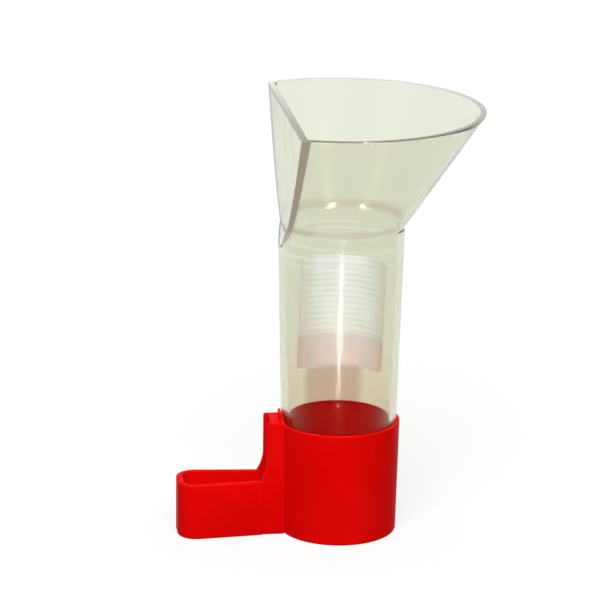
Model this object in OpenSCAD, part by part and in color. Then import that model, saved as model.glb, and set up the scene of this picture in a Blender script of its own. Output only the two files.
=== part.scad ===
// Seed feeder for a bird cage.
// A clear hopper stands in the round socket of a red base and lifts straight out for filling.
// Seed runs down the tube, through the throat in the base's neck and into the trough.
// The origin is on the tube's axis at the base's foot. +Z is up and the trough reaches to -X.

/* [Hopper] */
// Height of the whole feeder
feeder_h = 138; // [125:1:150]
// Height at which the tube opens into the funnel
funnel_z = 101; // [90:1:110]
// Outside diameter of the tube where it meets the funnel
tube_d = 40; // [38.4:0.1:41]
// Slope of the tube's side, in degrees
tube_slope = 1.4; // [1.2:0.1:1.6]
// Outside diameter of the funnel's rim
rim_d = 89.4; // [76:0.2:96]
// Distance from the tube's axis to the funnel's flat back
flat_x = 18.6; // [18.2:0.1:19]
// Height over which the flat runs out into the tube below the funnel
flat_drop = 8; // [3:0.5:12]
// Wall of the clear moulding
hopper_wall = 2; // [1.6:0.1:2.4]
// Width of the level edge at the funnel's rim
rim_edge = 2; // [1.6:0.1:2.4]

/* [Base] */
// Height of the cup
cup_h = 36.8; // [32:0.1:42]
// Outside diameter of the cup at its rim
cup_rim_d = 39; // [39:0.1:41]
// Outside diameter of the cup at its foot
cup_foot_d = 37.5; // [37:0.1:39]
// Height of the ledge that the tube stands on
seat_z = 14; // [13:0.5:17]
// Gap all round between the tube and its socket
socket_gap = 0.2; // [0.15:0.05:0.3]
// Inside diameter of the seed chamber under the ledge
chamber_d = 32.4; // [30:0.2:33]
// Thickness of the floor
floor_t = 1.6; // [1.2:0.1:2.4]

/* [Neck] */
// Width of the neck that passes between the cage wires
neck_w = 12.2; // [11:0.2:13]
// Distance from the tube's axis to the neck's face above the trough
neck_x = 23.6; // [22.6:0.2:25]
// Rise of the neck's top over the cup's rim
neck_rise = 0.5; // [0.2:0.1:1]
// Rise of the lip beside the tube over the neck's top
lip_rise = 2.3; // [0.6:0.1:3]
// Width of that lip
lip_w = 6; // [4:0.5:10]
// Thickness of the neck's two side plates
plate_t = 1.5; // [1.2:0.1:1.7]
// How far the wall between the plates is set back from their edges
face_setback = 1.3; // [0.8:0.1:1.6]
// Radius of the curve that brings the plates down to the trough
gusset_r = 12; // [10:1:20]
// Height of that curve
gusset_h = 7; // [5:0.5:9]
// Height of the throat's roof
throat_z = 13; // [10:0.5:13]

/* [Trough] */
// Distance from the tube's axis to the trough's far end
trough_reach = 51.9; // [44:0.1:60]
// Height of the trough's rim
trough_h = 18; // [15:0.5:20]
// Width of the trough beside the neck
trough_near_w = 13; // [12.8:0.1:14]
// Width of the trough at its far end
trough_far_w = 16.6; // [15:0.2:18]
// Radius of the far corners
trough_corner_r = 6; // [4:0.5:6.5]
// Wall of the trough
trough_wall = 2; // [1.9:0.1:2.2]

/* [Label] */
// Width of the label, across the tube
label_w = 30.5; // [20:0.5:33]
// Height of the label
label_h = 37; // [25:1:40]
// Height of the label's middle
label_z = 67.3; // [60:0.1:75]
// Tilt of the label, in degrees
label_tilt = 2; // [0:0.5:12]
// Turn of the label's middle round the tube, from +Y towards +X, in degrees
label_turn = 11; // [-15:1:15]
// Radius of the label's corners
label_corner_r = 2; // [1:0.5:4]

/* [Hidden] */
$fn = 96;

// Clearance that carries a cut past the face it opens
past = 1;
// How far a straight wall runs inside the circle that it meets, so that they cross
slip = 0.005;

// Hopper
rim_r = rim_d / 2;
// How far the flat's run-out goes down for each millimetre that it goes out
run_out = flat_drop / (tube_d / 2 - flat_x);
funnel_half_angle = atan((rim_r - tube_d / 2) / (feeder_h - funnel_z));
// The wall measured level through the funnel's slope
funnel_wall = hopper_wall / cos(funnel_half_angle);
inner_flat_x = flat_x - hopper_wall;
// Outside radius of the tube at height z
function tube_r(z) = tube_d / 2 - (funnel_z - z) * tan(tube_slope);
// Outside radius of the funnel at height z
function funnel_r(z) = tube_d / 2 + (z - funnel_z) * tan(funnel_half_angle);
// Height at which the bore turns into the inside of the funnel
bore_top_z = funnel_z + (funnel_wall - hopper_wall) / (tan(funnel_half_angle) - tan(tube_slope));

// Base
neck_half = neck_w / 2;
neck_h = cup_h + neck_rise;
lip_h = neck_h + lip_rise;
passage_half = neck_half - plate_t;
neck_wall_x = neck_x - face_setback;
gusset_top_z = trough_h + gusset_h;
gusset_centre_x = neck_x + gusset_r;
gusset_foot_x = gusset_centre_x - sqrt(gusset_r * gusset_r - gusset_h * gusset_h);
// The trough's walls start just inside the foot of the plates, and the plates run on just past it
trough_near_x = gusset_foot_x - past;
plate_end_x = gusset_foot_x + past;

// Label
label_t = 0.15;
label_gap = 0.03;
label_reach = tube_d;

// Everything on the -X side of a plane, from the funnel's foot upwards, with a slow run-out below
module behind_flat(x) {
  far = rim_d;
  top = feeder_h + 2 * past;
  rotate([90, 0, 0])
    linear_extrude(2 * far, center = true)
      polygon([[-x, funnel_z], [-x, top], [-far, top], [-far, funnel_z - (far - x) * run_out]]);
}

// Solid of revolution inside the hopper: the bore and the inside of the funnel
module hopper_bore() {
  low = seat_z - past;
  top = feeder_h + past;
  rotate_extrude()
    polygon([
      [0, low],
      [tube_r(low) - hopper_wall, low],
      [tube_r(bore_top_z) - hopper_wall, bore_top_z],
      [rim_r - rim_edge, feeder_h],
      [rim_r - rim_edge + past * tan(funnel_half_angle), top],
      [0, top]
    ]);
}

// One clear moulding: a tapered tube that opens into a funnel with a flat back
module hopper() {
  color([0.86, 0.87, 0.82, 0.35])
    difference() {
      rotate_extrude()
        polygon([
          [0, seat_z],
          [tube_r(seat_z), seat_z],
          [tube_r(funnel_z), funnel_z],
          [rim_r, feeder_h],
          [0, feeder_h]
        ]);
      behind_flat(flat_x);
      difference() {
        hopper_bore();
        behind_flat(inner_flat_x);
      }
    }
}

// Plan of the trough, drawn in by inset on every side but the neck's
module trough_plan(inset) {
  corner_r = trough_corner_r - inset;
  near = [-trough_near_x, trough_near_w / 2 - inset];
  corner = [trough_corner_r - trough_reach, trough_far_w / 2 - trough_corner_r];
  // The side wall is the tangent from its near end to the corner's circle
  run = corner - near;
  side_r = corner_r - slip;
  swing = atan2(run[1], run[0]) - asin(side_r / norm(run));
  side = sqrt(run * run - side_r * side_r);
  touch = near + side * [cos(swing), sin(swing)];
  polygon([
    near,
    touch,
    corner,
    [corner[0], -corner[1]],
    [touch[0], -touch[1]],
    [near[0], -near[1]]
  ]);
  translate([corner[0] - side_r, -corner[1]])
    square([side_r, 2 * corner[1]]);
  for (side_sign = [-1, 1])
    translate([corner[0], side_sign * corner[1]])
      circle(corner_r);
}

// The neck's outline from the side, from the cup out to the foot of the plates
module neck_profile() {
  cup_side = cup_foot_d / 2 - past;
  difference() {
    union() {
      translate([-plate_end_x, 0])
        square([plate_end_x - cup_side, gusset_top_z]);
      translate([-neck_x, 0])
        square([neck_x - cup_side, neck_h]);
    }
    translate([-gusset_centre_x, gusset_top_z])
      circle(gusset_r);
  }
}

// The tapered socket that takes the tube, down to the ledge
module socket() {
  top = lip_h + past;
  rotate_extrude()
    polygon([
      [0, seat_z],
      [tube_r(seat_z) + socket_gap, seat_z],
      [tube_r(top) + socket_gap, top],
      [0, top]
    ]);
}

// The lip that stands beside the tube on the neck's side of the cup
module lip() {
  intersection() {
    translate([0, 0, cup_h - past])
      cylinder(h = lip_h - cup_h + past, d = cup_rim_d);
    translate([-cup_rim_d, -lip_w / 2, 0])
      cube([cup_rim_d, lip_w, lip_h]);
  }
}

// One red moulding: the cup, the neck and the trough
module base() {
  color([0.87, 0.02, 0.02])
    difference() {
      union() {
        cylinder(h = cup_h, d1 = cup_foot_d, d2 = cup_rim_d);
        rotate([90, 0, 0])
          linear_extrude(neck_w, center = true)
            neck_profile();
        lip();
        linear_extrude(trough_h)
          trough_plan(0);
      }
      socket();
      translate([0, 0, floor_t])
        cylinder(h = seat_z, d = chamber_d);
      // The throat, from the chamber out under the neck's face
      translate([-gusset_foot_x, -passage_half, floor_t])
        cube([gusset_foot_x, 2 * passage_half, throat_z - floor_t]);
      // The gap between the two side plates
      translate([-plate_end_x - past, -passage_half, floor_t])
        cube([plate_end_x + past - neck_wall_x, 2 * passage_half, neck_h]);
      translate([0, 0, floor_t])
        linear_extrude(trough_h)
          trough_plan(trough_wall);
    }
}

// A rectangle with round corners
module rounded_plate(w, h, r) {
  square([w - 2 * r, h], center = true);
  square([w, h - 2 * r], center = true);
  for (x_sign = [-1, 1])
    for (y_sign = [-1, 1])
      translate([x_sign * (w / 2 - r), y_sign * (h / 2 - r)])
        circle(r);
}

// Blank paper label, curved round the far side of the tube
module label() {
  low = label_z - label_h;
  high = label_z + label_h;
  color([0.93, 0.91, 0.93])
    intersection() {
      rotate_extrude()
        polygon([
          [tube_r(low) + label_gap, low],
          [tube_r(low) + label_gap + label_t, low],
          [tube_r(high) + label_gap + label_t, high],
          [tube_r(high) + label_gap, high]
        ]);
      rotate([0, 0, -label_turn])
        translate([0, label_reach, label_z])
          rotate([0, label_tilt, 0])
            rotate([90, 0, 0])
              linear_extrude(label_reach)
                rounded_plate(label_w, label_h, label_corner_r);
    }
}

hopper();
base();
label();
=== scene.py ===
# %% [markdown]
# # A cage bird feeder
# A clear hopper stands in a red base, and a paper label is stuck to the far side of its tube. The packed
# solids give every size and place. This lesson gives those solids the skin of real mouldings: small round
# edges, a clear plastic that bends light, a red plastic with a soft gloss, and plain label paper.

# %% Load the frame
import math

import bmesh
import bpy
from mathutils import Matrix, Vector


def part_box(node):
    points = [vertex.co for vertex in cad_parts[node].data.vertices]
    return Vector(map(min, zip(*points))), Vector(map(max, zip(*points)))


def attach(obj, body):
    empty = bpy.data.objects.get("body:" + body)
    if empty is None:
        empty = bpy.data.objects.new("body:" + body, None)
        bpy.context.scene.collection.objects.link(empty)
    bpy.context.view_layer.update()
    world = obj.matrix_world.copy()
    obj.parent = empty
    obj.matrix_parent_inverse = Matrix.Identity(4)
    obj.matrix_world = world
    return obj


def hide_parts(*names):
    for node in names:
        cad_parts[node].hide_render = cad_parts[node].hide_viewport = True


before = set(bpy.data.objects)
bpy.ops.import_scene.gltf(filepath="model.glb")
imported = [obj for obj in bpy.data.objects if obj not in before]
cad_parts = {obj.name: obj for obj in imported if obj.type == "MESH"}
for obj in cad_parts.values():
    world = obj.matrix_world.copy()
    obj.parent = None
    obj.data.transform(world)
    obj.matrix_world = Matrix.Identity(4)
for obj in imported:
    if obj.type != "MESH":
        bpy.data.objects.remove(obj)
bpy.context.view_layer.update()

print("nodes:", sorted(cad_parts))

# %% [markdown]
# ## Sizes
# The frame gives the outer sizes: how tall the feeder is, how wide its rim, how far its trough reaches. Each
# piece's other sizes come with the piece, in millimetres, the same ones that the solids were drawn with.
# Blender works in metres, so lengths are turned into metres only when points are made.

# %% Sizes from the frame
MM = 0.001
hopper_low, hopper_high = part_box("hopper")
base_low, base_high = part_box("base")
label_low, label_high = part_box("label")

TOP_Z = hopper_high.z / MM
SEAT_Z = hopper_low.z / MM
RIM_R = hopper_high.x / MM
LIP_H = base_high.z / MM
CUP_RIM_R = base_high.x / MM
TROUGH_REACH = -base_low.x / MM
LABEL_Z = (label_low.z + label_high.z) / 2 / MM

print(f"feeder {TOP_Z:.1f} mm tall, rim radius {RIM_R:.1f} mm, trough reach {TROUGH_REACH:.1f} mm")

# %% [markdown]
# ## Camera
# The photograph was taken from a little left of the feeder's side and about 16 degrees above it, with a long
# lens that keeps the tube's sides nearly parallel. The camera looks at a point in the middle of the picture,
# and a small roll gives the feeder its slight lean. The lens goes with Blender's usual 36 mm sensor.

# %% Place the camera
VIEW_AZIMUTH = math.radians(-7.92)
VIEW_ELEVATION = math.radians(16.5)
VIEW_ROLL = math.radians(0.708)
VIEW_DISTANCE = 1013.9 * MM
VIEW_TARGET = Vector((-12.91, 0, 76.29)) * MM
LENS_MM = 192.7

back = Vector((
    math.sin(VIEW_AZIMUTH) * math.cos(VIEW_ELEVATION),
    -math.cos(VIEW_AZIMUTH) * math.cos(VIEW_ELEVATION),
    math.sin(VIEW_ELEVATION),
))
level_right = Vector((math.cos(VIEW_AZIMUTH), math.sin(VIEW_AZIMUTH), 0))
level_up = back.cross(level_right)
right = level_right * math.cos(VIEW_ROLL) + level_up * math.sin(VIEW_ROLL)
up = back.cross(right)

camera_data = bpy.data.cameras.new("camera")
camera_data.lens = LENS_MM
camera = bpy.data.objects.new("camera", camera_data)
bpy.context.scene.collection.objects.link(camera)
camera_turn = Matrix((right, up, back)).transposed().to_4x4()
camera.matrix_world = Matrix.Translation(VIEW_TARGET + back * VIEW_DISTANCE) @ camera_turn
bpy.context.scene.camera = camera
print("camera at", [round(c, 3) for c in camera.location])

# %% [markdown]
# ## Tools for moulded shapes
# A moulding is smooth because every edge of its mould has a small radius. So the outlines below are drawn as
# corner points with a radius each, and one helper turns the corners into arcs. A second helper joins a stack
# of outlines into a skin. Loops of points laid out this way give clean four-sided faces, which bend light
# evenly in the clear parts.

# %% Helpers for outlines
ARC_STEPS = 8


def arc(centre, radius, start, end, steps=ARC_STEPS):
    """Points along an arc, with angles in radians."""
    angles = [start + (end - start) * i / steps for i in range(steps + 1)]
    return [Vector((centre[0] + radius * math.cos(a), centre[1] + radius * math.sin(a))) for a in angles]


def round_corners(corners, closed):
    """Turns corners, each (x, y, radius), into points with every corner as an arc."""
    points = []
    count = len(corners)
    for i, (x, y, radius) in enumerate(corners):
        here = Vector((x, y))
        at_end = not closed and i in (0, count - 1)
        if radius == 0 or at_end:
            points.append(here)
            continue
        before = (Vector(corners[i - 1][:2]) - here).normalized()
        after = (Vector(corners[(i + 1) % count][:2]) - here).normalized()
        half = before.angle(after) / 2
        reach = radius / math.tan(half)
        centre = here + (before + after).normalized() * radius / math.sin(half)
        first = here + before * reach - centre
        sweep = first.angle_signed(here + after * reach - centre)
        start = math.atan2(first.y, first.x)
        points += arc(centre, radius, start, start - sweep)
    return points


def fill_in(points, longest):
    """Adds points round a closed outline, so that no stretch is longer than longest says for its ends."""
    filled = []
    for start, end in zip(points, points[1:] + points[:1]):
        steps = max(1, math.ceil((end - start).length / longest(start, end)))
        filled += [start.lerp(end, i / steps) for i in range(steps)]
    return filled


def at_height(outline, z):
    """An outline's points, all at one height."""
    return [(p.x, p.y, z) for p in outline]


print("a round corner takes", ARC_STEPS + 1, "points")

# %% Helpers for skins
# Points closer together than this, in millimetres, are one point
WELD_DISTANCE = 0.002


def add_object(name, mesh):
    piece = bpy.data.objects.new(name, mesh)
    bpy.context.scene.collection.objects.link(piece)
    return piece


def skin(name, rings, ends):
    """Joins rings of points in millimetres. ends is "loop" to join the last ring to the first, or "cap"."""
    mesh = bpy.data.meshes.new(name)
    bm = bmesh.new()
    rows = [[bm.verts.new(Vector(point) * MM) for point in ring] for ring in rings]
    above = rows[1:] + rows[:1] if ends == "loop" else rows[1:]
    for lower, upper in zip(rows, above):
        for i in range(len(lower)):
            bm.faces.new((lower[i - 1], lower[i], upper[i], upper[i - 1]))
    if ends == "cap":
        bm.faces.new(reversed(rows[0]))
        bm.faces.new(rows[-1])
    bmesh.ops.remove_doubles(bm, verts=bm.verts, dist=WELD_DISTANCE * MM)
    bmesh.ops.recalc_face_normals(bm, faces=bm.faces)
    bm.to_mesh(mesh)
    bm.free()
    return add_object(name, mesh)


def smooth(piece, angle):
    """Smooth shading, with a crease only where faces meet at more than angle degrees."""
    piece.data.shade_smooth()
    piece.data.set_sharp_from_angle(angle=math.radians(angle))


print("points weld within", WELD_DISTANCE, "mm")

# %% [markdown]
# ## The clear hopper
# The hopper is one moulding. A plain spun profile would do for the tube and the funnel, but the flat back
# cuts the funnel to a D. So each level of the wall is drawn as its own D: an arc, a straight back, and two
# small round corners. Going once round the wall's profile, up the outside, over the rim and down the inside,
# and drawing the D at every point, gives one closed skin with a true wall. Light can then bend at both faces.

# %% The hopper's sizes and curves
FUNNEL_Z = 101
FLAT_X = 18.6
FLAT_DROP = 8
TUBE_TOP_R = 20
TUBE_SLOPE = math.tan(math.radians(1.4))
HOPPER_WALL = 2
RIM_EDGE = 2
FUNNEL_SLOPE = (RIM_R - TUBE_TOP_R) / (TOP_Z - FUNNEL_Z)
# The wall measured level through the funnel's slope
FUNNEL_WALL = HOPPER_WALL * math.hypot(1, FUNNEL_SLOPE)
# How far the flat's run-out goes down for each millimetre that it goes out
RUN_OUT = FLAT_DROP / (TUBE_TOP_R - FLAT_X)
# The height at which the bore turns into the inside of the funnel
BORE_TOP_Z = FUNNEL_Z + (FUNNEL_WALL - HOPPER_WALL) / (FUNNEL_SLOPE - TUBE_SLOPE)
# The flat wall's edge shows through the funnel as a band, whose width is given at three heights
BAND_RIM_W = 2.7
BAND_FOOT_W = 1.3
BAND_TIP_W = 0.1
BAND_DROP = 6


def tube_r(z):
    return TUBE_TOP_R - (FUNNEL_Z - z) * TUBE_SLOPE


def funnel_r(z):
    return TUBE_TOP_R + (z - FUNNEL_Z) * FUNNEL_SLOPE


def wall_depth(r, z):
    """How deep in the wall a point lies: 0 on the outside, 1 on the inside."""
    if z > FUNNEL_Z:
        rise = (z - FUNNEL_Z) / (TOP_Z - FUNNEL_Z)
        wall = FUNNEL_WALL + (RIM_EDGE - FUNNEL_WALL) * rise
        depth = (funnel_r(z) - r) / wall
    else:
        depth = (tube_r(z) - r) / HOPPER_WALL
    return min(max(depth, 0), 1)


def flat_x(z):
    """How far from the tube's axis the flat is, which runs out below the funnel."""
    return FLAT_X + max(0, FUNNEL_Z - z) / RUN_OUT


def band_x(z):
    """How far from the tube's axis the band beside the flat ends."""
    if z > FUNNEL_Z:
        width = BAND_FOOT_W + (BAND_RIM_W - BAND_FOOT_W) * (z - FUNNEL_Z) / (TOP_Z - FUNNEL_Z)
    else:
        width = BAND_FOOT_W + (BAND_TIP_W - BAND_FOOT_W) * (FUNNEL_Z - z) / BAND_DROP
    return flat_x(z) - max(0, width)


print(f"tube radius {tube_r(SEAT_Z):.2f} mm at its end, funnel wall {FUNNEL_WALL:.2f} mm measured level")

# %% Draw the hopper level by level
ARC_SIDES = 140
BAND_SIDES = 3
FLAT_SIDES = 24
CORNER_SIDES = 6
# Radii of the corners beside the flat, on the wall's outside and inside
OUTER_CORNER_R = 0.4
INNER_CORNER_R = 1.2
# Radii along the wall's profile
TUBE_END_R = 0.4
OUTER_BEND_R = 2
INNER_BEND_R = 8
OUTER_RIM_R = 0.2
INNER_RIM_R = 0.4
# Longest steps along the profile, and the heights between which the flat runs out
TUBE_STEP = 12
RUN_OUT_STEP = 0.5
FUNNEL_STEP = 1.2
RUN_OUT_LOW_Z = FUNNEL_Z - FLAT_DROP - 3
RUN_OUT_HIGH_Z = FUNNEL_Z + 2


def d_section(r, z):
    """One level of the wall: a circle of radius r, cut by the flat where it reaches that far."""
    depth = wall_depth(r, z)
    flat = min(flat_x(z) - HOPPER_WALL * depth, r)
    corner_r = OUTER_CORNER_R + (INNER_CORNER_R - OUTER_CORNER_R) * depth
    reach = math.sqrt((r - corner_r) ** 2 - (flat - corner_r) ** 2)
    corner = Vector((corner_r - flat, reach))
    angle = math.atan2(corner.y, corner.x)
    band = min(angle, math.acos(-min(band_x(z) / r, 1)))
    outline = arc((0, 0), r, -angle, -band, steps=BAND_SIDES)
    outline += arc((0, 0), r, -band, band, steps=ARC_SIDES)
    outline += arc((0, 0), r, band, angle, steps=BAND_SIDES)
    outline += arc(corner, corner_r, angle, math.pi, steps=CORNER_SIDES)
    outline += [Vector((-flat, reach - 2 * reach * i / FLAT_SIDES)) for i in range(1, FLAT_SIDES)]
    outline += arc((corner.x, -corner.y), corner_r, math.pi, 2 * math.pi - angle, steps=CORNER_SIDES)
    return at_height(outline, z)


def profile_step(start, end):
    """Short steps where the flat shapes the wall, long ones down the plain tube."""
    top = max(start.y, end.y)
    if top < RUN_OUT_LOW_Z:
        return TUBE_STEP
    return RUN_OUT_STEP if top < RUN_OUT_HIGH_Z else FUNNEL_STEP


wall_profile = round_corners([
    (tube_r(SEAT_Z), SEAT_Z, TUBE_END_R),
    (TUBE_TOP_R, FUNNEL_Z, OUTER_BEND_R),
    (RIM_R, TOP_Z, OUTER_RIM_R),
    (RIM_R - RIM_EDGE, TOP_Z, INNER_RIM_R),
    (tube_r(BORE_TOP_Z) - HOPPER_WALL, BORE_TOP_Z, INNER_BEND_R),
    (tube_r(SEAT_Z) - HOPPER_WALL, SEAT_Z, TUBE_END_R),
], closed=True)
wall_profile = fill_in(wall_profile, profile_step)
hopper = skin("clear_hopper", [d_section(p.x, p.y) for p in wall_profile], "loop")
smooth(hopper, angle=40)
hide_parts("hopper")
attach(hopper, "hopper")
print("hopper:", len(wall_profile), "levels,", len(hopper.data.polygons), "faces")

# %% [markdown]
# ## The red base
# The base is one moulding too, but it has no single profile: a round cup, a narrow neck and a trough run into
# each other. It is made as a toolmaker would think of it. Solid blocks with rounded edges are joined, and
# then the hollows are cut out of them: the socket for the tube, the seed chamber under it, the throat through
# the neck, the gap between the neck's two plates, and the trough. The trough's cutter flares at the top, so
# that the rim is round on its inside too.

# %% The base's sizes
LIP_RISE = 2.3
NECK_RISE = 0.5
NECK_H = LIP_H - LIP_RISE
CUP_H = NECK_H - NECK_RISE
CUP_FOOT_R = 18.75
CHAMBER_R = 16.2
SOCKET_GAP = 0.2
FLOOR_T = 1.6
NECK_W = 12.2
NECK_X = 23.6
LIP_W = 6
PLATE_T = 1.5
FACE_SETBACK = 1.3
GUSSET_R = 12
GUSSET_H = 7
THROAT_Z = 13
TROUGH_H = 18
TROUGH_NEAR_W = 13
TROUGH_FAR_W = 16.6
TROUGH_CORNER_R = 6
TROUGH_WALL = 2
# How far a block or a cutter goes past the face that it meets
PAST = 1

PASSAGE_HALF = NECK_W / 2 - PLATE_T
GUSSET_TOP_Z = TROUGH_H + GUSSET_H
GUSSET_CENTRE_X = NECK_X + GUSSET_R
GUSSET_FOOT_X = GUSSET_CENTRE_X - math.sqrt(GUSSET_R ** 2 - GUSSET_H ** 2)
TROUGH_NEAR_X = GUSSET_FOOT_X - PAST
PLATE_END_X = GUSSET_FOOT_X + PAST

print(f"cup {CUP_H:.1f} mm tall, throat {2 * PASSAGE_HALF:.1f} mm wide")

# %% Helpers for solid blocks
CUP_SIDES = 160
BEVEL_SEGMENTS = 4
BEVEL_ANGLE = math.radians(40)


def spin(name, profile):
    """A solid of revolution about the tube's axis, from a profile that starts and ends on the axis."""
    turns = [2 * math.pi * i / CUP_SIDES for i in range(CUP_SIDES)]
    rings = [[(p.x * math.cos(t), p.x * math.sin(t), p.y) for t in turns] for p in profile[1:-1]]
    return skin(name, rings, "cap")


def extrude(name, outline, low_z, high_z):
    return skin(name, [at_height(outline, low_z), at_height(outline, high_z)], "cap")


def box_block(name, low, high):
    ring = [Vector(p) for p in ((low[0], low[1]), (high[0], low[1]), (high[0], high[1]), (low[0], high[1]))]
    return extrude(name, ring, low[2], high[2])


def apply_modifiers(piece):
    bpy.context.view_layer.update()
    shaped = piece.evaluated_get(bpy.context.evaluated_depsgraph_get())
    mesh = bpy.data.meshes.new_from_object(shaped)
    piece.modifiers.clear()
    piece.data = mesh


def round_edges(piece, radius):
    bevel = piece.modifiers.new("round edges", "BEVEL")
    bevel.width = radius * MM
    bevel.segments = BEVEL_SEGMENTS
    bevel.limit_method = "ANGLE"
    bevel.angle_limit = BEVEL_ANGLE
    apply_modifiers(piece)


def combine(piece, other, operation):
    """Joins another solid to a piece, or cuts it out, and removes that other solid."""
    step = piece.modifiers.new(operation, "BOOLEAN")
    step.operation = operation
    step.object = other
    step.solver = "EXACT"
    apply_modifiers(piece)
    bpy.data.objects.remove(other)


print("round solids have", CUP_SIDES, "sides")

# %% Shapes of the base's blocks
TROUGH_EDGE_R = 0.5
FLOOR_CORNER_R = 1.2
TROUGH_CORNER_STEPS = 16
GUSSET_STEPS = 12
LIP_STEPS = 24


def trough_plan(inset):
    """Outline of the trough, drawn in by inset: two straight flared sides and two round far corners."""
    radius = TROUGH_CORNER_R - inset
    near = Vector((-TROUGH_NEAR_X, TROUGH_NEAR_W / 2 - inset))
    corner = Vector((TROUGH_CORNER_R - TROUGH_REACH, TROUGH_FAR_W / 2 - TROUGH_CORNER_R))
    # The side is the tangent from its near end to the corner's circle
    run = corner - near
    swing = math.atan2(run.y, run.x) % (2 * math.pi) - math.asin(radius / run.length)
    touch = swing - math.pi / 2
    outline = [near] + arc(corner, radius, touch, math.pi, steps=TROUGH_CORNER_STEPS)
    outline += arc((corner.x, -corner.y), radius, math.pi, 2 * math.pi - touch, steps=TROUGH_CORNER_STEPS)
    return outline + [Vector((near.x, -near.y))]


def neck_block():
    """The neck from the side: up from the foot, along the plates' curve and on to the neck's top."""
    inner_x = -(CUP_FOOT_R - PAST)
    start = -math.acos((GUSSET_CENTRE_X - PLATE_END_X) / GUSSET_R)
    side = [Vector((inner_x, 0)), Vector((-PLATE_END_X, 0))]
    side += arc((-GUSSET_CENTRE_X, GUSSET_TOP_Z), GUSSET_R, start, 0, steps=GUSSET_STEPS)
    side += [Vector((-NECK_X, NECK_H)), Vector((inner_x, NECK_H))]
    half = NECK_W / 2
    return skin("neck", [[(p.x, y, p.y) for p in side] for y in (-half, half)], "cap")


def lip_block():
    """The lip beside the tube: a short stretch of the cup's curve, filled to the inside for now."""
    half = math.asin(LIP_W / 2 / CUP_RIM_R)
    plan = arc((0, 0), CUP_RIM_R, math.pi - half, math.pi + half, steps=LIP_STEPS)
    plan += [Vector((-CHAMBER_R, -LIP_W / 2)), Vector((-CHAMBER_R, LIP_W / 2))]
    return extrude("lip", plan, CUP_H - 2 * PAST, LIP_H)


def trough_cutter():
    """The trough's hollow: a round foot, straight walls, and a flare that rounds the rim's inner edge."""
    foot = arc((-FLOOR_CORNER_R, 0), FLOOR_CORNER_R, -math.pi / 2, 0)
    flare = arc((TROUGH_EDGE_R, 0), TROUGH_EDGE_R, math.pi, math.pi / 2)
    levels = [(FLOOR_T + FLOOR_CORNER_R + p.y, TROUGH_WALL - p.x) for p in foot]
    levels += [(TROUGH_H - TROUGH_EDGE_R + p.y, TROUGH_WALL - p.x) for p in flare]
    levels.append((TROUGH_H + PAST, TROUGH_WALL - TROUGH_EDGE_R))
    return skin("trough_hollow", [at_height(trough_plan(inset), z) for z, inset in levels], "cap")


print("the trough's plan has", len(trough_plan(0)), "points")

# %% Join the blocks
CUP_FOOT_EDGE_R = 0.6
CUP_RIM_EDGE_R = 0.4
NECK_EDGE_R = 0.6
LIP_EDGE_R = 0.25

base = spin("red_base", round_corners([
    (0, 0, 0),
    (CUP_FOOT_R, 0, CUP_FOOT_EDGE_R),
    (CUP_RIM_R, CUP_H, CUP_RIM_EDGE_R),
    (0, CUP_H, 0),
], closed=False))
trough = extrude("trough", trough_plan(0), 0, TROUGH_H)
round_edges(trough, TROUGH_EDGE_R)
neck = neck_block()
round_edges(neck, NECK_EDGE_R)
lip = lip_block()
round_edges(lip, LIP_EDGE_R)
for block in (neck, lip, trough):
    combine(base, block, "UNION")
print("base blocks joined:", len(base.data.polygons), "faces")

# %% Cut the hollows
socket_top_z = LIP_H + PAST
socket = spin("socket", round_corners([
    (0, FLOOR_T, 0),
    (CHAMBER_R, FLOOR_T, FLOOR_CORNER_R),
    (CHAMBER_R, SEAT_Z, 0),
    (tube_r(SEAT_Z) + SOCKET_GAP, SEAT_Z, 0),
    (tube_r(socket_top_z) + SOCKET_GAP, socket_top_z, 0),
    (0, socket_top_z, 0),
], closed=False))
throat_low = (-PLATE_END_X, -PASSAGE_HALF, FLOOR_T)
throat_high = (-CHAMBER_R / 2, PASSAGE_HALF, THROAT_Z)
throat = box_block("throat", throat_low, throat_high)
gap_low = (-PLATE_END_X - PAST, -PASSAGE_HALF, FLOOR_T)
gap_high = (-NECK_X + FACE_SETBACK, PASSAGE_HALF, NECK_H + PAST)
plate_gap = box_block("plate_gap", gap_low, gap_high)
for hollow in (socket, throat, plate_gap, trough_cutter()):
    combine(base, hollow, "DIFFERENCE")
smooth(base, angle=35)
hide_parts("base")
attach(base, "base")
print("base:", len(base.data.polygons), "faces")

# %% [markdown]
# ## The label
# The label is a sheet of paper stuck to the far side of the tube, a little askew. Its outline is a rectangle
# with round corners. Each of its rows is as wide as the outline there, and every point is then laid on the
# tube's cone. A second layer of points a paper's thickness outside closes the sheet.

# %% The label's outline on the tube
LABEL_W = 30.5
LABEL_H = 37
LABEL_TILT = math.radians(2)
LABEL_TURN = math.radians(11)
LABEL_CORNER_R = 2
LABEL_T = 0.15
LABEL_GAP = 0.03
LABEL_COLUMNS = 40
LABEL_ROWS = 40
LABEL_CORNER_ROWS = 9


def label_rows():
    """Heights of the rows above the label's middle, closer together where the corners are round."""
    straight = LABEL_H / 2 - LABEL_CORNER_R
    angles = [math.radians(90 * i / LABEL_CORNER_ROWS) for i in range(1, LABEL_CORNER_ROWS + 1)]
    corner = [straight + LABEL_CORNER_R * math.sin(a) for a in angles]
    middle = [straight * (2 * i / LABEL_ROWS - 1) for i in range(LABEL_ROWS + 1)]
    return [-v for v in reversed(corner)] + middle + corner


def label_half_width(v):
    into_corner = max(0, abs(v) - (LABEL_H / 2 - LABEL_CORNER_R))
    return LABEL_W / 2 - LABEL_CORNER_R + math.sqrt(max(0, LABEL_CORNER_R ** 2 - into_corner ** 2))


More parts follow.
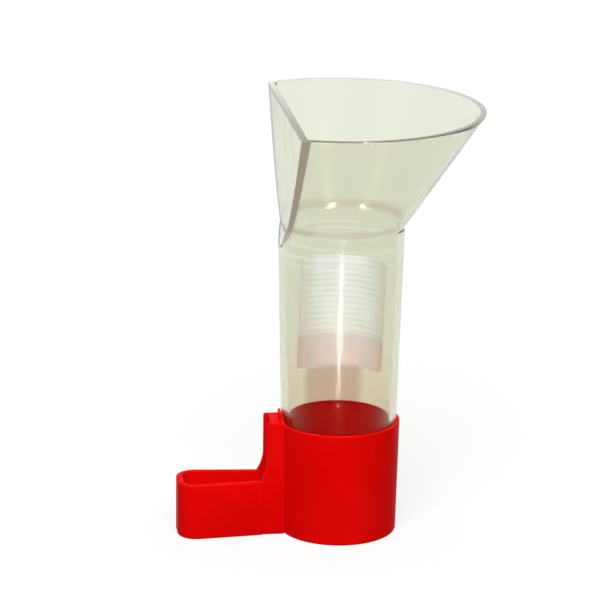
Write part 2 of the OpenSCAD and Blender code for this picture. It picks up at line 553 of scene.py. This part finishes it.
def on_tube(u, v, lift):
    """The point of the tube's far side at place u, v of the tilted label, lift millimetres off the wall."""
    x = u * math.cos(LABEL_TILT) + v * math.sin(LABEL_TILT)
    z = LABEL_Z - u * math.sin(LABEL_TILT) + v * math.cos(LABEL_TILT)
    y = math.sqrt((tube_r(z) + lift) ** 2 - x ** 2)
    turned = Matrix.Rotation(-LABEL_TURN, 3, "Z") @ Vector((x, y, z))
    return turned * MM


print("label:", len(label_rows()), "rows of", LABEL_COLUMNS + 1, "points")

# %% Lay the label on the tube
def label_layer(bm, lift, places):
    """Rows of points over the label. Each point's place on the label's plan is kept in places."""
    rows = []
    for v in label_rows():
        half = label_half_width(v)
        row = []
        for i in range(LABEL_COLUMNS + 1):
            u = half * (2 * i / LABEL_COLUMNS - 1)
            vert = bm.verts.new(on_tube(u, v, lift))
            places[vert] = (u / LABEL_W + 0.5, v / LABEL_H + 0.5)
            row.append(vert)
        rows.append(row)
    return rows


def edge_of(rows):
    """The points round a layer's edge, in order."""
    right_side = [row[-1] for row in rows[1:]]
    left_side = [row[0] for row in rows[-2:0:-1]]
    return rows[0] + right_side + rows[-1][-2::-1] + left_side


def make_label():
    mesh = bpy.data.meshes.new("paper_label")
    bm = bmesh.new()
    plan = bm.loops.layers.uv.new("plan")
    places = {}
    layers = [label_layer(bm, lift, places) for lift in (LABEL_GAP, LABEL_GAP + LABEL_T)]
    for rows in layers:
        for low, high in zip(rows, rows[1:]):
            for i in range(LABEL_COLUMNS):
                bm.faces.new((low[i], low[i + 1], high[i + 1], high[i]))
    inner, outer = [edge_of(rows) for rows in layers]
    for i in range(len(inner)):
        bm.faces.new((inner[i - 1], inner[i], outer[i], outer[i - 1]))
    bmesh.ops.recalc_face_normals(bm, faces=bm.faces)
    for face in bm.faces:
        for loop in face.loops:
            loop[plan].uv = places[loop.vert]
    bm.to_mesh(mesh)
    bm.free()
    return add_object("paper_label", mesh)


label = make_label()
smooth(label, angle=40)
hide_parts("label")
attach(label, "hopper")
print("label:", len(label.data.polygons), "faces")

# %% [markdown]
# ## Tools for finishes
# A finish is a tree of nodes. Each helper below adds one or two nodes and gives back the output to go on
# with, so that a finish reads like arithmetic. An input may be a number, a colour or another node's output.

# %% Helpers for nodes
# A Mix node has sockets of the same name for numbers and for colours. These are the places of the colours
MIX_FIRST = 6
MIX_SECOND = 7
MIX_RESULT = 2
# Most of what noise gives lies in this range
NOISE_RANGE = (0.3, 0.7)


def set_input(tree, socket, value):
    if isinstance(value, bpy.types.NodeSocket):
        tree.links.new(value, socket)
    else:
        socket.default_value = value


def set_inputs(tree, node, **inputs):
    """Sets inputs by name, where spaces are written as underscores."""
    for name, value in inputs.items():
        set_input(tree, node.inputs[name.replace("_", " ")], value)


def add_node(tree, kind, **inputs):
    node = tree.nodes.new(kind)
    set_inputs(tree, node, **inputs)
    return node


def add_group(tree, group, **inputs):
    """Places a node group and gives back its outputs."""
    node = tree.nodes.new("ShaderNodeGroup")
    node.node_tree = group
    set_inputs(tree, node, **inputs)
    return node.outputs


def calculate(tree, operation, *values):
    node = tree.nodes.new("ShaderNodeMath")
    node.operation = operation
    for socket, value in zip(node.inputs, values):
        set_input(tree, socket, value)
    return node.outputs["Value"]


def product(tree, first, *others):
    for other in others:
        first = calculate(tree, "MULTIPLY", first, other)
    return first


def distance(tree, value, middle):
    """How far a value is from a middle one, to either side."""
    return calculate(tree, "ABSOLUTE", calculate(tree, "SUBTRACT", value, middle))


def map_to(tree, value, low, high, from_low=0, from_high=1):
    """Maps a value smoothly from one range to another, and holds it at the ends."""
    node = add_node(tree, "ShaderNodeMapRange", Value=value, To_Min=low, To_Max=high)
    set_inputs(tree, node, From_Min=from_low, From_Max=from_high)
    node.interpolation_type = "SMOOTHSTEP"
    return node.outputs["Result"]


def mix_colors(tree, factor, first, second):
    node = add_node(tree, "ShaderNodeMix", Factor=factor)
    node.data_type = "RGBA"
    set_input(tree, node.inputs[MIX_FIRST], first)
    set_input(tree, node.inputs[MIX_SECOND], second)
    return node.outputs[MIX_RESULT]


def noise(tree, place, scale, **detail):
    return add_node(tree, "ShaderNodeTexNoise", Vector=place, Scale=scale, **detail).outputs["Fac"]


def new_material(name):
    """A material with only its output and its Principled shader."""
    material = bpy.data.materials.new(name)
    material.use_nodes = True
    tree = material.node_tree
    tree.nodes.clear()
    shader = tree.nodes.new("ShaderNodeBsdfPrincipled")
    add_node(tree, "ShaderNodeOutputMaterial", Surface=shader.outputs["BSDF"])
    return material, tree, shader


def add_bump(tree, shader, height, strength, depth_mm):
    bump = add_node(tree, "ShaderNodeBump", Height=height, Strength=strength, Distance=depth_mm * MM)
    tree.links.new(bump.outputs["Normal"], shader.inputs["Normal"])


def dress(piece, *materials):
    """Gives a piece its finishes, in place of those that it came with."""
    piece.data.materials.clear()
    for material in materials:
        piece.data.materials.append(material)


print("pieces to dress:", hopper.name, base.name, label.name)

# %% [markdown]
# ## Shared surface marks
# Both plastics have been handled. Tiny scuffs dull them in patches, and the mould leaves a faint unevenness.
# One node group makes these marks from noise, and each plastic sets how large and how strong they are.

# %% Node group for handling marks
SCUFF_TURN = (0.4, 0.7, 0.2)
SCUFF_STRETCH = (1, 14, 1)
SCUFF_FROM = 0.62
SCUFF_FULL = 0.72


def make_marks_group():
    """Patches from noise, scuffs drawn out in one direction within those patches, and a fine grain."""
    group = bpy.data.node_groups.new("handling_marks", "ShaderNodeTree")
    for name in ("Patch Scale", "Fine Scale"):
        group.interface.new_socket(name, in_out="INPUT", socket_type="NodeSocketFloat")
    for name in ("Scuffs", "Patches", "Height"):
        group.interface.new_socket(name, in_out="OUTPUT", socket_type="NodeSocketFloat")
    scales = group.nodes.new("NodeGroupInput").outputs
    place = group.nodes.new("ShaderNodeTexCoord").outputs["Object"]
    patches = noise(group, place, scales["Patch Scale"], Detail=4, Roughness=0.55)
    grain = noise(group, place, scales["Fine Scale"], Detail=3, Roughness=0.6)
    drawn_out = add_node(group, "ShaderNodeMapping", Vector=place, Rotation=SCUFF_TURN, Scale=SCUFF_STRETCH)
    streaks = noise(group, drawn_out.outputs["Vector"], scales["Patch Scale"], Detail=2, Roughness=0.5)
    thin = add_node(group, "ShaderNodeMapRange", Value=streaks, From_Min=SCUFF_FROM, From_Max=SCUFF_FULL)
    scuffs = product(group, thin.outputs["Result"], patches)
    add_node(group, "NodeGroupOutput", Scuffs=scuffs, Patches=patches, Height=grain)
    return group


marks_group = make_marks_group()
print("marks group:", [item.name for item in marks_group.interface.items_tree])

# %% [markdown]
# ## Clear plastic
# Clear polystyrene bends light almost as strongly as glass. Its faint warm tint isn't the same everywhere, so
# a node group sets the colour by the place on the hopper: plain over most of it, yellower on the flat,
# browner at the thick ring under the funnel, darker and browner on the back wall between the label and the
# cup, and warmer at the tube's foot, a painted reflection of the red base shining into the wall. Fine level
# lines under the funnel show how the melt flowed. A second group colours the rim with painted shade at the
# front and a painted sheen at the back. Painting these colours on the mesh would work too, but a place worked
# out from the sizes moves with them.

# %% Places of the tints
# Each span says where a tint starts and where it is full, or the other way round, in millimetres
INNER_FLAT_X = HOPPER_WALL - FLAT_X
FLAT_DEPTH = (INNER_FLAT_X, INNER_FLAT_X + 0.2)
FLAT_FOOT = (FUNNEL_Z, FUNNEL_Z + 2)
FOOT_TOP = (CUP_H + 1.2, CUP_H + 41.2)
FOOT_SIDE = (9, 12)
FOOT_SIDE_SHARE = 0.55
LABEL_FOOT_Z = LABEL_Z - LABEL_H / 2
UNDER_LABEL_TOP = (LABEL_FOOT_Z - 0.8, LABEL_FOOT_Z + 1.2)
UNDER_LABEL_FOOT = (CUP_H - 1.8, CUP_H + 0.2)
UNDER_LABEL_FRONT = (0, 5)
UNDER_LABEL_SIDE = (8, 11)
RING_Z = FUNNEL_Z + 1.6
RING_EDGE = (0.3, 2)
RING_MIDDLE = (9, 15)
RING_MIDDLE_SHARE = 0.45
RING_CLOUD_SCALE = 110
RING_CLOUDS = (0.35, 0.65)
RING_THIN_SHARE = 0.6
FLOW_FOOT = (FUNNEL_Z - 12, FUNNEL_Z - 8)
FLOW_TOP = (FUNNEL_Z - 4, FUNNEL_Z - 2)
FLOW_STRETCH = (30, 30, 800)
FLOW_LINES = (0.45, 0.65)
FLOW_SHARE = 0.8


def fade(tree, place, span, low=0, high=1):
    """Goes smoothly from low to high over a span."""
    start, end = span
    return map_to(tree, place, low, high, start * MM, end * MM)


def flat_mask(tree, along):
    """The wall of the flat back."""
    return product(tree, fade(tree, along["X"], FLAT_DEPTH, 1, 0), fade(tree, along["Z"], FLAT_FOOT))


def red_glow_mask(tree, along):
    """The painted red glow: the tube's lower half, fully in its middle and less beside that."""
    from_middle = distance(tree, along["X"], 0)
    in_middle = fade(tree, from_middle, FOOT_SIDE, 1, FOOT_SIDE_SHARE)
    return product(tree, fade(tree, along["Z"], FOOT_TOP, 1, 0), in_middle)


def under_label_mask(tree, along):
    """The middle of the tube's back wall, from the cup's rim up to the label, made darker and browner."""
    return product(
        tree,
        fade(tree, along["Z"], UNDER_LABEL_TOP, 1, 0),
        fade(tree, along["Z"], UNDER_LABEL_FOOT),
        fade(tree, along["Y"], UNDER_LABEL_FRONT),
        fade(tree, distance(tree, along["X"], 0), UNDER_LABEL_SIDE, 1, 0),
    )


def ring_mask(tree, place, along):
    """The thick ring under the funnel: cloudy, and weaker in the middle than at both ends."""
    from_ring = distance(tree, along["Z"], RING_Z * MM)
    clouds = noise(tree, place, RING_CLOUD_SCALE, Detail=3)
    return product(
        tree,
        fade(tree, from_ring, RING_EDGE, 1, 0),
        map_to(tree, clouds, RING_THIN_SHARE, 1, *RING_CLOUDS),
        fade(tree, distance(tree, along["X"], 0), RING_MIDDLE, RING_MIDDLE_SHARE, 1),
    )


def flow_mask(tree, place, along):
    """Fine level lines in the tube under the funnel."""
    level = add_node(tree, "ShaderNodeMapping", Vector=place, Scale=FLOW_STRETCH)
    lines = noise(tree, level.outputs["Vector"], 1, Detail=2)
    return product(
        tree,
        map_to(tree, lines, 0, FLOW_SHARE, *FLOW_LINES),
        fade(tree, along["Z"], FLOW_FOOT),
        fade(tree, along["Z"], FLOW_TOP, 1, 0),
    )


print(f"tints change at {FOOT_TOP[0]:.0f}, {LABEL_FOOT_Z:.1f}, {FLOW_FOOT[0]} and {RING_Z} mm up")

# %% Node groups for the wall's tint with its painted red glow, and the rim's painted shade and sheen
PLAIN_TINT = (0.87, 0.883, 0.80, 1)
FLAT_TINT = (0.76, 0.775, 0.60, 1)
# The tube's foot is painted warmer, a painted reflection of the red base
FOOT_RED_GLOW = (0.91, 0.81, 0.72, 1)
# The back wall between the cup's rim and the label is made darker and browner
UNDER_LABEL_BROWN = (0.73, 0.57, 0.51, 1)
RING_TINT = (0.65, 0.55, 0.50, 1)
FLOW_TINT = (0.98, 0.98, 0.97, 1)
# Painted shade at the rim's front and a painted sheen at its back
RIM_FRONT_SHADE = (0.36, 0.31, 0.23, 1)
RIM_BACK_SHEEN = (0.98, 0.98, 0.88, 1)


def new_place_group(name):
    """A node group with a colour to give, the place on the piece, and that place along X, Y and Z."""
    group = bpy.data.node_groups.new(name, "ShaderNodeTree")
    group.interface.new_socket("Color", in_out="OUTPUT", socket_type="NodeSocketColor")
    place = group.nodes.new("ShaderNodeTexCoord").outputs["Object"]
    along = add_node(group, "ShaderNodeSeparateXYZ", Vector=place).outputs
    return group, place, along


def make_wall_tint_and_glow_group():
    group, place, along = new_place_group("wall_tint_and_red_glow")
    color = mix_colors(group, flat_mask(group, along), PLAIN_TINT, FLAT_TINT)
    color = mix_colors(group, red_glow_mask(group, along), color, FOOT_RED_GLOW)
    color = mix_colors(group, under_label_mask(group, along), color, UNDER_LABEL_BROWN)
    color = mix_colors(group, ring_mask(group, place, along), color, RING_TINT)
    color = mix_colors(group, flow_mask(group, place, along), color, FLOW_TINT)
    add_node(group, "NodeGroupOutput", Color=color)
    return group


# The rim is painted darker at the front and paler at the back, as painted shade and a painted sheen
def make_rim_shade_group():
    group, place, along = new_place_group("rim_painted_shade_and_sheen")
    shade_to_sheen = fade(group, along["Y"], (-RIM_R, RIM_R))
    add_node(group, "NodeGroupOutput", Color=mix_colors(group, shade_to_sheen, RIM_FRONT_SHADE, RIM_BACK_SHEEN))
    return group


wall_tint_and_glow_group = make_wall_tint_and_glow_group()
rim_shade_group = make_rim_shade_group()
print("tint groups:", wall_tint_and_glow_group.name, rim_shade_group.name)

# %% [markdown]
# ## Three finishes of the hopper
# Most of the hopper is quite clear. The level rim and the corners beside the flat take finishes that hold
# some white haze. The corners' finish is painted shade, the dark brown band where the flat's edge shows
# through the funnel, and the rim's finish holds painted shade at the front and a painted sheen at the back.
# The wall's own mirror reflection is tinted black, which leaves it only where the wall is seen at a slant,
# because it would lay a grey veil over the red inside the cup. A thin, slightly rough coat shows the lamps as
# glints instead, and leaves the label behind the wall sharp.
# Shadow rays and rays from matt surfaces pass through a plain transparent shader, because light bent by the
# walls takes far too many samples to find the red base.

# %% Finishes of the hopper
CLEAR_IOR = 1.5
MIRROR_TINT = (0, 0, 0, 1)
COAT_WEIGHT = 0.05
COAT_ROUGHNESS = 0.1
SCUFF_DULLNESS = 0.2
LET_THROUGH = (0.98, 0.98, 0.98, 1)
ABSORB_COLOR = (0.58, 0.6, 0.35, 1)
ABSORB_DENSITY = 100


def let_light_through(tree, surface):
    """Makes a surface plainly transparent to shadow rays, and to rays that left a matt surface."""
    path = tree.nodes.new("ShaderNodeLightPath")
    clear = add_node(tree, "ShaderNodeBsdfTransparent", Color=LET_THROUGH)
    for ray in ("Is Diffuse Ray", "Is Shadow Ray"):
        either = add_node(tree, "ShaderNodeMixShader", Fac=path.outputs[ray])
        tree.links.new(surface, either.inputs[1])
        tree.links.new(clear.outputs["BSDF"], either.inputs[2])
        surface = either.outputs["Shader"]
    return surface


def make_clear_plastic(name, clearness, dullness, tint):
    """Plastic with white haze where clearness is below 1. tint is a colour, or a group, painted shade
    included.
    """
    material, tree, shader = new_material(name)
    marks = add_group(tree, marks_group, Patch_Scale=70)
    set_inputs(
        tree,
        shader,
        Base_Color=tint if isinstance(tint, tuple) else add_group(tree, tint)["Color"],
        Roughness=map_to(tree, marks["Scuffs"], dullness, dullness + SCUFF_DULLNESS),
        IOR=CLEAR_IOR,
        Transmission_Weight=clearness,
        Specular_Tint=MIRROR_TINT,
        Coat_Weight=COAT_WEIGHT,
        Coat_Roughness=COAT_ROUGHNESS,
    )
    add_bump(tree, shader, marks["Patches"], strength=0.12, depth_mm=0.3)
    absorb = add_node(tree, "ShaderNodeVolumeAbsorption", Color=ABSORB_COLOR, Density=ABSORB_DENSITY)
    surface = let_light_through(tree, shader.outputs["BSDF"])
    set_inputs(tree, tree.nodes["Material Output"], Surface=surface, Volume=absorb.outputs["Volume"])
    return material


print("clear plastic bends light by an index of", CLEAR_IOR)

# %% Dress the hopper
CLEAR, RIM, CORNER = range(3)
# Painted shade: the dark brown band where the flat's edge shows through the funnel
CORNER_BAND_SHADE = (0.88, 0.74, 0.57, 1)
# The rim's finish goes this far down, in millimetres
RIM_DEPTH = 0.15
# A face of the flat points this far along -X
FLAT_FACING = 0.97


def finish_of(face):
    """Which of the three finishes a face of the hopper takes."""
    centre = face.center / MM
    if centre.z > TOP_Z - RIM_DEPTH:
        return RIM
    faces_out = face.normal.xy.dot(centre.xy) > 0
    on_flat = face.normal.x < -FLAT_FACING
    beside_flat = centre.x < -band_x(centre.z) and centre.z > FUNNEL_Z - BAND_DROP
    return CORNER if faces_out and beside_flat and not on_flat else CLEAR


dress(
    hopper,
    make_clear_plastic("clear_plastic", clearness=1, dullness=0.02, tint=wall_tint_and_glow_group),
    make_clear_plastic("rim_haze_with_painted_shade", clearness=0.35, dullness=0.06, tint=rim_shade_group),
    make_clear_plastic("corner_band_painted_shade", clearness=0.2, dullness=0.2, tint=CORNER_BAND_SHADE),
)
finishes = [finish_of(face) for face in hopper.data.polygons]
hopper.data.polygons.foreach_set("material_index", finishes)
print("clear plastic on", hopper.name, "with", finishes.count(RIM) + finishes.count(CORNER), "hazed faces")

# %% [markdown]
# ## Red plastic
# The base is dyed right through, so it has no paint to wear off. What varies is its gloss: scuffed patches
# are duller, and the mould's fine texture breaks up highlights.

# %% Dress the base
DEEP_RED = (0.71, 0.0015, 0.0015, 1)
BRIGHT_RED = (0.77, 0.003, 0.003, 1)
GLOSS_RED = (1, 0.04, 0.04, 1)
RED_ROUGHNESS = (0.34, 0.48)


def make_red_plastic():
    material, tree, shader = new_material("red_plastic")
    marks = add_group(tree, marks_group, Patch_Scale=45, Fine_Scale=1400)
    in_patches = map_to(tree, marks["Patches"], 0, 1, *NOISE_RANGE)
    set_inputs(
        tree,
        shader,
        Base_Color=mix_colors(tree, in_patches, DEEP_RED, BRIGHT_RED),
        Roughness=map_to(tree, marks["Patches"], *RED_ROUGHNESS, *NOISE_RANGE),
        Specular_IOR_Level=0.01,
        Specular_Tint=GLOSS_RED,
    )
    add_bump(tree, shader, marks["Height"], strength=0.15, depth_mm=0.05)
    return material


dress(base, make_red_plastic())
print("red plastic on", base.name)

# %% [markdown]
# ## Label paper
# The label is plain: pale paper with a few faint ruled lines, a pink wash over its lower part and two pink
# corner blocks. The pattern is drawn by arithmetic on the label's own plan, so it follows the tilt.

# %% Dress the label
PAPER = (0.92, 0.90, 0.98, 1)
RULE = (0.70, 0.69, 0.78, 1)
MARGIN = (0.98, 0.89, 0.94, 1)
WASH = (0.80, 0.69, 0.74, 1)
BLOCK = (0.93, 0.72, 0.77, 1)
RULE_COUNT = 20
CLOUD_SCALE = 7
# How strongly each colour covers the paper
RULE_COVER = 0.7
FAINT_RULE_COVER = 0.15
WASH_COVER = 0.9
PINK_COVER = 0.8
# Spans in shares of the label's width or height, or of the space from one rule to the next
RULE_HALF = (0.05, 0.28)
RULE_END = (0.41, 0.44)
MARGIN_START = (0.39, 0.44)
WASH_TOP = (0.26, 0.34)
BLOCK_TOP = (0.17, 0.21)
BLOCK_START = (0.37, 0.40)


def make_label_paper():
    material, tree, shader = new_material("label_paper")
    uv_map = tree.nodes.new("ShaderNodeUVMap")
    uv_map.uv_map = "plan"
    plan = uv_map.outputs["UV"]
    along = add_node(tree, "ShaderNodeSeparateXYZ", Vector=plan).outputs
    from_middle = distance(tree, along["X"], 0.5)
    height = along["Y"]
    # The rules are a saw tooth over the height, dark near its middle, faint and uneven
    tooth = calculate(tree, "FRACT", calculate(tree, "MULTIPLY", height, RULE_COUNT))
    cloud = noise(tree, plan, CLOUD_SCALE, Detail=4)
    rule = product(
        tree,
        map_to(tree, distance(tree, tooth, 0.5), RULE_COVER, 0, *RULE_HALF),
        map_to(tree, cloud, FAINT_RULE_COVER, 1, *NOISE_RANGE),
        map_to(tree, from_middle, 1, 0, *RULE_END),
    )
    margin = map_to(tree, from_middle, 0, PINK_COVER, *MARGIN_START)
    wash = map_to(tree, height, WASH_COVER, 0, *WASH_TOP)
    low_down = map_to(tree, height, 1, 0, *BLOCK_TOP)
    block = product(tree, low_down, map_to(tree, from_middle, 0, PINK_COVER, *BLOCK_START))
    color = mix_colors(tree, margin, PAPER, MARGIN)
    color = mix_colors(tree, wash, color, WASH)
    color = mix_colors(tree, rule, color, RULE)
    color = mix_colors(tree, block, color, BLOCK)
    set_inputs(tree, shader, Base_Color=color, Roughness=0.75, Specular_IOR_Level=0.1)
    return material


dress(label, make_label_paper())
print("paper on", label.name)

# %% [markdown]
# ## Floor and sky
# The feeder stands on a plain white floor under a white sky. The light path tells both what a ray is for.
# They look white to the camera, in gloss and through the clear plastic, and otherwise give only a weak, soft
# light, so that no extra light falls on the feeder. The floor stays matt and takes the feeder's shadow.

# %% Make the floor and the sky
WHITE = (1, 1, 1, 1)
SKY_LIGHT = 0.3
FLOOR_COLOR = (0.3, 0.3, 0.3, 1)
FLOOR_GLOW = 0.7
# Half the floor's width, in metres
FLOOR_HALF = 6


def seen_directly(tree):
    """1 for rays from the camera, and for what they show in gloss and through clear plastic."""
    path = tree.nodes.new("ShaderNodeLightPath").outputs
    camera_or_gloss = calculate(tree, "MAXIMUM", path["Is Camera Ray"], path["Is Glossy Ray"])
    return calculate(tree, "MAXIMUM", camera_or_gloss, path["Is Transmission Ray"])


def make_floor():
    mesh = bpy.data.meshes.new("floor")
    corners = [(x * FLOOR_HALF, y * FLOOR_HALF, 0) for x, y in ((-1, -1), (1, -1), (1, 1), (-1, 1))]
    mesh.from_pydata(corners, [], [(0, 1, 2, 3)])
    floor = add_object("floor", mesh)
    material = bpy.data.materials.new("floor")
    material.use_nodes = True
    tree = material.node_tree
    tree.nodes.clear()
    matt = add_node(tree, "ShaderNodeBsdfDiffuse", Color=FLOOR_COLOR)
    strength = product(tree, seen_directly(tree), FLOOR_GLOW)
    glow = add_node(tree, "ShaderNodeEmission", Color=WHITE, Strength=strength)
    both = tree.nodes.new("ShaderNodeAddShader")
    tree.links.new(matt.outputs["BSDF"], both.inputs[0])
    tree.links.new(glow.outputs["Emission"], both.inputs[1])
    add_node(tree, "ShaderNodeOutputMaterial", Surface=both.outputs["Shader"])
    mesh.materials.append(material)


def make_sky():
    world = bpy.data.worlds.new("sky")
    bpy.context.scene.world = world
    world.use_nodes = True
    tree = world.node_tree
    tree.nodes.clear()
    strength = map_to(tree, seen_directly(tree), SKY_LIGHT, 1)
    sky = add_node(tree, "ShaderNodeBackground", Color=WHITE, Strength=strength)
    add_node(tree, "ShaderNodeOutputWorld", Surface=sky.outputs["Background"])


make_floor()
make_sky()
print("sky light", SKY_LIGHT, "and floor glow", FLOOR_GLOW)

# %% [markdown]
# ## Lamps
# A wide sun gives the soft main light from the front. The other lamps are linked to the pieces that they
# light. The label is seen through two tinted walls, so it has a bluish light of its own, and a weak light
# from behind keeps the backs of the base and the label from going dark. Clear plastic shows the lamps around
# it as bright marks. The streak down the tube comes from strips of light on the table in front, and the two
# glints at the funnel's foot come from two tall panels. These show in the hopper's gloss and light nothing
# else.

# %% Helpers for lamps
STREAK_STRIPS = 3
# A strip's width for each millimetre that it lies past a first distance from the tube's axis
STREAK_SPREAD = 0.27
STREAK_START = 100
STREAK_GLOW = 150
# Where the streak's strips begin and end, from the tube's axis
STREAK_NEAR = 138
STREAK_FAR = 310
GLINT_COLOR = (1, 0.93, 0.8)


def towards(azimuth, elevation):
    """Direction from the feeder, with the azimuth counted from the camera's, in degrees."""
    turn = VIEW_AZIMUTH + math.radians(azimuth)
    rise = math.radians(elevation)
    return Vector((
        math.sin(turn) * math.cos(rise),
        -math.cos(turn) * math.cos(rise),
        math.sin(rise),
    ))


def add_lamp(name, kind, strength, direction):
    """A lamp a metre away in a direction, which shines back along it and isn't seen itself."""
    data = bpy.data.lights.new(name, kind)
    data.energy = strength
    lamp = bpy.data.objects.new(name, data)
    bpy.context.scene.collection.objects.link(lamp)
    lamp.location = direction
    lamp.rotation_euler = direction.to_track_quat("Z", "Y").to_euler()
    lamp.visible_glossy = False
    lamp.visible_transmission = False
    return lamp


def add_sun(name, strength, direction, spread):
    """A sun whose light arrives from all over a disc of spread degrees."""
    lamp = add_lamp(name, "SUN", strength, direction)
    lamp.data.angle = math.radians(spread)
    return lamp


def light_only(lamp, *pieces):
    """Lets a lamp light the pieces named and nothing else."""
    receivers = bpy.data.collections.new(lamp.name)
    for piece in pieces:
        receivers.objects.link(piece)
    lamp.light_linking.receiver_collection = receivers


def show_in_gloss_only(lamp, width, height):
    """Makes a rectangular lamp that is only seen as a reflection. Sizes are in millimetres."""
    lamp.data.shape = "RECTANGLE"
    lamp.data.size = width * MM
    lamp.data.size_y = height * MM
    lamp.visible_camera = False
    lamp.visible_diffuse = False
    lamp.visible_glossy = True
    light_only(lamp, hopper)


def add_glint(name, strength, direction):
    """A tall warm panel that shows as a glint where the funnel curves into the bore."""
    lamp = add_lamp(name, "AREA", strength, direction)
    lamp.data.color = GLINT_COLOR
    show_in_gloss_only(lamp, width=150, height=300)


def add_streak(name, near, far):
    """Strips of light on the table, wider the further they lie, that show as one streak down the tube."""
    upward = Vector((0, 0, 1))
    along = (far - near).normalized()
    turn = Matrix((along.cross(-upward), along, -upward)).transposed().to_4x4()
    length = (far - near).length / STREAK_STRIPS
    for i in range(STREAK_STRIPS):
        middle = near.lerp(far, (i + 0.5) / STREAK_STRIPS)
        width = STREAK_SPREAD * (middle.length - STREAK_START)
        # A lamp's strength is its glow times pi and its area in square metres
        strength = STREAK_GLOW * math.pi * width * MM * length * MM
        lamp = add_lamp(f"{name}_{i + 1}", "AREA", strength, upward)
        show_in_gloss_only(lamp, width, length)
        lamp.matrix_world = Matrix.Translation((middle + upward) * MM) @ turn


print("the streak is made of", STREAK_STRIPS, "strips")

# %% Place the lamps
LABEL_LIGHT_COLOR = (0.63, 0.655, 1)

add_sun("main_light", strength=3.05, direction=towards(azimuth=-3, elevation=48), spread=45)
label_light = add_sun("label_light", strength=4.9, direction=towards(azimuth=0, elevation=30), spread=60)
label_light.data.color = LABEL_LIGHT_COLOR
light_only(label_light, label)
back_light = add_sun("back_light", strength=1.3, direction=towards(azimuth=180, elevation=15), spread=60)
light_only(back_light, base, label)
streak_near = towards(azimuth=-3.5, elevation=0) * STREAK_NEAR
streak_far = towards(azimuth=2.5, elevation=0) * STREAK_FAR
add_streak("streak_light", streak_near, streak_far)
add_glint("right_glint", strength=380, direction=towards(azimuth=20, elevation=39))
add_glint("left_glint", strength=280, direction=towards(azimuth=-45, elevation=37))

# %% [markdown]
# ## Finish
# The picture is shown as it is lit, with no film curve.

# %% Picture settings
bpy.context.scene.view_settings.view_transform = "Standard"
